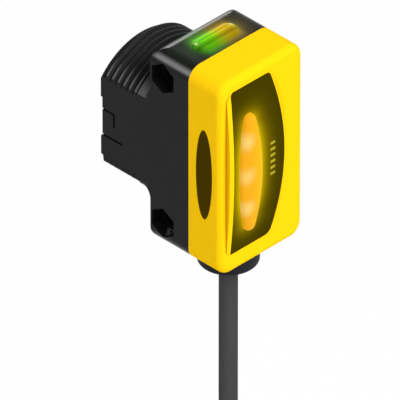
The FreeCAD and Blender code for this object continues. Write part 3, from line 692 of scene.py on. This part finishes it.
def tick_marks(tree, y, z):
    """1 on a column of plain tick marks, 0 between and beside them."""
    inside = minus(tree, TICK_HALF_WIDTH, absolute(tree, minus(tree, y, TICK_Y)))
    column = above(tree, inside, 0.0, TICK_EDGE)
    climb = maths(tree, "DIVIDE", minus(tree, z, TICK_LOW_Z), TICK_STEP)
    stripe = below(tree, maths(tree, "FRACT", climb), TICK_SHARE, TICK_SHARE_EDGE)
    over_lowest = above(tree, z, TICK_LOW_Z, TICK_EDGE)
    under_highest = below(tree, z, TICK_HIGH_Z, TICK_EDGE)
    return times(tree, times(tree, column, stripe), times(tree, over_lowest, under_highest))


def bar_halo(tree, y, z):
    """The light bar's glow in the window, strongest at the bar's edge."""
    towards_end = maths(tree, "DIVIDE", absolute(tree, z), HALO_HALF_LENGTH)
    taper = maths(tree, "POWER", maths(tree, "MINIMUM", towards_end, 1.0), HALO_TAPER)
    half_width = ramp(tree, taper, HALO_HALF_WIDTH, HALO_END_HALF_WIDTH)
    _, _, middle = box_mm("light_bar")
    distance = stadium_distance(tree, y, z, middle.y + HALO_SHIFT_Y, HALO_HALF_LENGTH, half_width)
    return times(tree, fade(tree, distance, HALO_FADE), HALO_STRENGTH)


def window_material():
    """Smoked olive window: a soft halo round the lit bar and a column of plain tick marks."""
    material, tree, shader = new_material("smoked_window")
    _, y, z = millimetres(tree)
    colour = mix_colours(tree, tick_marks(tree, y, z), clouded(tree, SMOKED_DARK, SMOKED), TICK_COLOUR)
    finish_plastic(tree, shader, colour, roughness=0.3, specular=0.0, grain=0.02)
    shader.inputs["Emission Color"].default_value = HALO_COLOUR
    tree.links.new(bar_halo(tree, y, z), shader.inputs["Emission Strength"])
    return material


# Amber bar, in millimetres; its colours run across it, deeper orange towards its -Y side as painted
# shade of that side, and a lamp is its height and its strength

BAR_AMBER_AND_SIDE_SHADE = [
    (0.0, (0.97, 0.46, 0.012)),
    (0.3, (0.98, 0.44, 0.012)),
    (0.6, (1.0, 0.5, 0.01)),
    (1.0, (0.97, 0.59, 0.008)),
]
BAR_FLANGE = 0.5
BAR_LAMPS = [(8.0, 1.0), (0.3, 0.82), (-7.3, 1.0)]
BAR_LAMP_COLOUR = (1.0, 0.66, 0.17)
BAR_LAMP_SHIFT_Y = -1.6
BAR_LAMP_REACH = 2.8
BAR_BODY_SHARE = 0.4
BAR_GLOW = 0.5


def bar_material():
    """Amber diffuser, lit from behind by three lamps."""
    material, tree, shader = new_material("amber_lens")
    _, y, z = millimetres(tree)
    low, high, middle = box_mm("light_bar")
    across = ramp(tree, y, 0.0, 1.0, low.y + BAR_FLANGE, high.y - BAR_FLANGE)
    # Painted shade: the amber turns deeper orange towards the bar's -Y side
    amber = colour_steps(tree, across, BAR_AMBER_AND_SIDE_SHADE)
    hot = 0.0
    for lamp_z, strength in BAR_LAMPS:
        lamp = spot(tree, y, z, middle.y + BAR_LAMP_SHIFT_Y, lamp_z, BAR_LAMP_REACH)
        hot = maths(tree, "ADD", times(tree, lamp, strength), hot)
    colour = mix_colours(tree, hot, amber, BAR_LAMP_COLOUR)
    body = scaled(tree, colour, BAR_BODY_SHARE)
    finish_plastic(tree, shader, body, roughness=0.3, specular=0.02, grain=0.02)
    tree.links.new(colour, shader.inputs["Emission Color"])
    shader.inputs["Emission Strength"].default_value = BAR_GLOW
    return material


# Front plate, in millimetres

PLATE_RED = (0.03, 0.002, 0.0024)
PLATE_RED_DARK = (0.026, 0.0018, 0.002)
LENS_RED = (0.1, 0.007, 0.008)
LENS_RIM_RED = (0.075, 0.006, 0.007)
LENS_RIM_WIDTH = 0.4
LENS_EDGE = 0.08
LENS_MIDDLE_SHARE = 0.75
LENS_OUTER_SHARE = 0.3


def lens_plate_material():
    """Deep red plate, nearly black; the two lenses behind it show through as faint discs with rims, with
    painted shading that lightens each disc towards its middle.
    """
    material, tree, shader = new_material("front_lens")
    _, y, z = millimetres(tree)
    low, high, middle = box_mm("emitter_lens")
    lens_radius = (high.y - low.y) / 2
    cap_radius = lens_radius - LENS_RIM_WIDTH
    radius = hypotenuse(tree, y, minus(tree, absolute(tree, z), middle.z))
    # Painted shading: each disc is lighter at its middle than at its edge
    shaded_disc = ramp(tree, radius, LENS_MIDDLE_SHARE, LENS_OUTER_SHARE, 0.0, cap_radius)
    cap = below(tree, radius, cap_radius, LENS_EDGE)
    rim = minus(tree, below(tree, radius, lens_radius, LENS_EDGE), cap)
    plate = clouded(tree, PLATE_RED_DARK, PLATE_RED)
    with_discs = mix_colours(tree, times(tree, shaded_disc, cap), plate, LENS_RED)
    colour = mix_colours(tree, rim, with_discs, LENS_RIM_RED)
    finish_plastic(tree, shader, colour, roughness=0.09, specular=0.16, grain=0.0)
    return material


# The plain materials, and what each node is made of

RUBBER = (0.0125, 0.0135, 0.018)
RUBBER_DARK = (0.0105, 0.0115, 0.016)
GLASS = (0.8, 0.85, 0.8)
GLASS_DARK = (0.75, 0.8, 0.75)
BOARD_GREEN = (0.02, 0.16, 0.06)
BOARD_GREEN_DARK = (0.015, 0.12, 0.05)
CHIP = (0.03, 0.03, 0.03)
CHIP_DARK = (0.02, 0.02, 0.02)
RESIN = (0.8, 0.78, 0.7)
RESIN_DARK = (0.75, 0.73, 0.65)
TIN = (0.6, 0.6, 0.6)
BRASS = (0.8, 0.6, 0.3)


def dress(node_names, material):
    for name in node_names:
        mesh = nodes[name].data
        mesh.materials.clear()
        mesh.materials.append(material)


def dress_outside():
    """Dresses the pieces that show, and gives back the jacket for the scene's own cable."""
    dress(["housing"], housing_material())
    dress(["rear_cover"], cover_material())
    dress(["indicator_window"], window_material())
    dress(["light_bar"], bar_material())
    dress(["status_dome"], dome_material())
    dress(["lens_plate"], lens_plate_material())
    rubber = moulded("gland_rubber", RUBBER, RUBBER_DARK, roughness=0.5, grain=0.2, specular=0.08)
    dress(["cable_gland", "cover_seal", "lens_gasket"], rubber)
    jacket = jacket_material()
    dress(["cable_tail", "coil_ties"], jacket)
    return jacket


def dress_inside():
    insert = moulded("black_insert", BLACK, BLACK_DARK, roughness=0.42)
    dress(["optics_holder", "link_header", "led_header"], insert)
    glass = moulded("clear_glass", GLASS, GLASS_DARK, roughness=0.1, grain=0.0)
    dress(["emitter_lens", "receiver_lens"], glass)
    board = moulded("board", BOARD_GREEN, BOARD_GREEN_DARK, roughness=0.3, grain=0.05)
    dress(["optics_board", "main_board", "led_board"], board)
    chip = moulded("dark_chip", CHIP, CHIP_DARK, roughness=0.5)
    dress(["controller_chip", "regulator_chip", "output_transistors", "receiver_diodes"], chip)
    resin = moulded("led_package", RESIN, RESIN_DARK, roughness=0.25, grain=0.02)
    dress(["emitter_led", "output_leds", "power_led", "signal_led"], resin)
    dress(["receiver_shield", "capacitors"], metal("tinned_steel", TIN, roughness=0.3))
    dress(["link_pins", "led_header_pins", "crimp_ring"], metal("plated_brass", BRASS, roughness=0.28))


def dress_cores():
    for name, colour in CORE_COLOURS.items():
        darker = [channel * CORE_DARKER for channel in colour]
        insulation = moulded(f"{name}_insulation", colour, darker, roughness=0.3, grain=0.05)
        dress([f"{name}_core", f"{name}_end_core"], insulation)


# Floor, world and lamps, in metres and watts

WHITE = (1.0, 1.0, 1.0, 1.0)
FLOOR_Z = -0.165
FLOOR_SIZE = 30.0
FLOOR_CLOUD_SCALE = 6.0
FLOOR_GREY = (0.88, 0.88, 0.88)
FLOOR_GREY_DARK = (0.86, 0.86, 0.86)
FLOOR_WHITE_SHARE = 0.97
SOFT_LIGHT = 0.54
BACKDROP = (0.8, 0.8, 0.8, 1.0)
LAMP_TARGET = Vector((0.0, 0.0, -0.02))


def seen_directly(tree):
    """1 for what the camera sees, also in a mirror or through glass."""
    path = add(tree, "ShaderNodeLightPath")
    mirrored = maths(tree, "MAXIMUM", path.outputs["Is Glossy Ray"], path.outputs["Is Transmission Ray"])
    return maths(tree, "MAXIMUM", path.outputs["Is Camera Ray"], mirrored)


def mix_shaders(tree, factor, first, second):
    node = add(tree, "ShaderNodeMixShader")
    tree.links.new(factor, node.inputs[0])
    tree.links.new(first.outputs[0], node.inputs[1])
    tree.links.new(second.outputs[0], node.inputs[2])
    return node


def floor_material():
    """Nearly pure white to the eye, a grey that takes the shadow, and clear from below."""
    material, tree, shader = new_material("floor_white")
    clouds = noise(tree, object_place(tree), FLOOR_CLOUD_SCALE, detail=2.0)
    tree.links.new(mix_colours(tree, clouds, FLOOR_GREY_DARK, FLOOR_GREY), shader.inputs["Base Color"])
    shader.inputs["Roughness"].default_value = 0.9
    shader.inputs["Specular IOR Level"].default_value = 0.0
    glow = add(tree, "ShaderNodeEmission")
    glow.inputs["Color"].default_value = WHITE
    clear = add(tree, "ShaderNodeBsdfTransparent")
    from_above = mix_shaders(tree, times(tree, seen_directly(tree), FLOOR_WHITE_SHARE), shader, glow)
    underneath = add(tree, "ShaderNodeNewGeometry").outputs["Backfacing"]
    one_sided = mix_shaders(tree, underneath, from_above, clear)
    tree.links.new(one_sided.outputs[0], tree.nodes["Material Output"].inputs["Surface"])
    return material


def make_floor():
    bpy.ops.mesh.primitive_plane_add(size=FLOOR_SIZE, location=(0.0, 0.0, FLOOR_Z))
    floor = bpy.context.object
    floor.name = "floor"
    floor.data.materials.append(floor_material())


def make_world():
    """Soft white light all round; a light grey backdrop shows where the floor doesn't."""
    world = bpy.data.worlds.new("studio")
    scene.world = world
    world.use_nodes = True
    tree = world.node_tree
    soft = tree.nodes["Background"]
    soft.inputs["Color"].default_value = WHITE
    soft.inputs["Strength"].default_value = SOFT_LIGHT
    backdrop = add(tree, "ShaderNodeBackground")
    backdrop.inputs["Color"].default_value = BACKDROP
    backdrop.inputs["Strength"].default_value = 1.0
    blend = mix_shaders(tree, seen_directly(tree), soft, backdrop)
    tree.links.new(blend.outputs[0], tree.nodes["World Output"].inputs["Surface"])


def area_lamp(name, place, width, power):
    data = bpy.data.lights.new(name, "AREA")
    data.size = width
    data.energy = power
    lamp = bpy.data.objects.new(name, data)
    lamp.location = place
    lamp.rotation_euler = (Vector(place) - LAMP_TARGET).to_track_quat("Z", "Y").to_euler()
    scene.collection.objects.link(lamp)
    return lamp


def gloss_panel(name, place, width, height, power):
    """A panel that only shows as a highlight on rounded edges."""
    lamp = area_lamp(name, place, width, power)
    lamp.data.shape = "RECTANGLE"
    lamp.data.size_y = height
    lamp.visible_diffuse = False


def make_lamps():
    area_lamp("key", place=(0.8, -0.12, 0.93), width=0.9, power=15.5)
    gloss_panel("left_panel", place=(-0.69, -0.88, 0.28), width=0.64, height=0.42, power=8.2)
    gloss_panel("rear_panel", place=(-0.94, 0.51, 0.28), width=0.5, height=0.38, power=4.8)
    gloss_panel("front_panel", place=(0.86, -0.12, 0.72), width=0.5, height=0.4, power=29.0)


make_camera()
cable = make_cable()
jacket = dress_outside()
cable.data.materials.append(jacket)
dress_inside()
dress_cores()
make_world()
make_floor()
make_lamps()
scene.view_settings.view_transform = "Standard"
